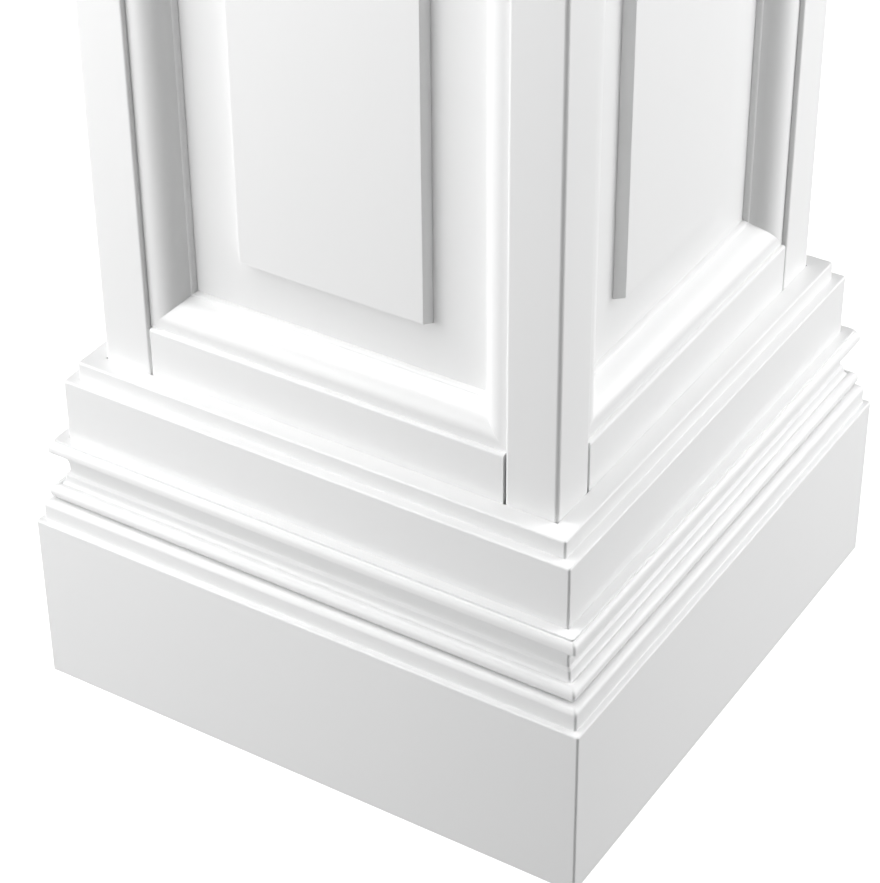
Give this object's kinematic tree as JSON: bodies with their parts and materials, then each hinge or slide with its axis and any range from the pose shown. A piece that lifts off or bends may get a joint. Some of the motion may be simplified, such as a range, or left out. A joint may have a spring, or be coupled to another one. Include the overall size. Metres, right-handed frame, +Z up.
{
  "type": "decorative column",
  "caption": "Square box column in white painted board, with a raised panel in a moulded frame on each face, a stacked base and a plain capital.",
  "frame": {"origin": "middle of the underside, on the floor", "axes": "+Z up along the column, -Y out of the front face, +X out of the right face"},
  "size_m": [0.3772, 0.3772, 2.438],
  "materials": {
    "panel_paint": "smooth satin white paint on wood board",
    "frame_paint": "smooth satin white paint on wood board",
    "moulding_paint": "smooth satin white paint on wood board",
    "base_paint": "smooth satin white paint on wood board"
  },
  "bodies": {
    "root": {"front_panel_board": "panel_paint", "front_raised_slab": "panel_paint", "front_stile_left": "frame_paint", "front_stile_right": "frame_paint", "front_rail_bottom": "frame_paint", "front_rail_top": "frame_paint", "front_panel_moulding_bottom": "moulding_paint", "front_panel_moulding_right": "moulding_paint", "front_panel_moulding_top": "moulding_paint", "front_panel_moulding_left": "moulding_paint", "front_base_board": "base_paint", "front_plinth_board": "base_paint", "front_base_cap": "base_paint", "front_neck_board": "base_paint", "front_crown": "base_paint", "right_panel_board": "panel_paint", "right_raised_slab": "panel_paint", "right_stile_left": "frame_paint", "right_stile_right": "frame_paint", "right_rail_bottom": "frame_paint", "right_rail_top": "frame_paint", "right_panel_moulding_bottom": "moulding_paint", "right_panel_moulding_right": "moulding_paint", "right_panel_moulding_top": "moulding_paint", "right_panel_moulding_left": "moulding_paint", "right_base_board": "base_paint", "right_plinth_board": "base_paint", "right_base_cap": "base_paint", "right_neck_board": "base_paint", "right_crown": "base_paint", "back_panel_board": "panel_paint", "back_raised_slab": "panel_paint", "back_stile_left": "frame_paint", "back_stile_right": "frame_paint", "back_rail_bottom": "frame_paint", "back_rail_top": "frame_paint", "back_panel_moulding_bottom": "moulding_paint", "back_panel_moulding_right": "moulding_paint", "back_panel_moulding_top": "moulding_paint", "back_panel_moulding_left": "moulding_paint", "back_base_board": "base_paint", "back_plinth_board": "base_paint", "back_base_cap": "base_paint", "back_neck_board": "base_paint", "back_crown": "base_paint", "left_panel_board": "panel_paint", "left_raised_slab": "panel_paint", "left_stile_left": "frame_paint", "left_stile_right": "frame_paint", "left_rail_bottom": "frame_paint", "left_rail_top": "frame_paint", "left_panel_moulding_bottom": "moulding_paint", "left_panel_moulding_right": "moulding_paint", "left_panel_moulding_top": "moulding_paint", "left_panel_moulding_left": "moulding_paint", "left_base_board": "base_paint", "left_plinth_board": "base_paint", "left_base_cap": "base_paint", "left_neck_board": "base_paint", "left_crown": "base_paint"}
  },
  "joints": []
}
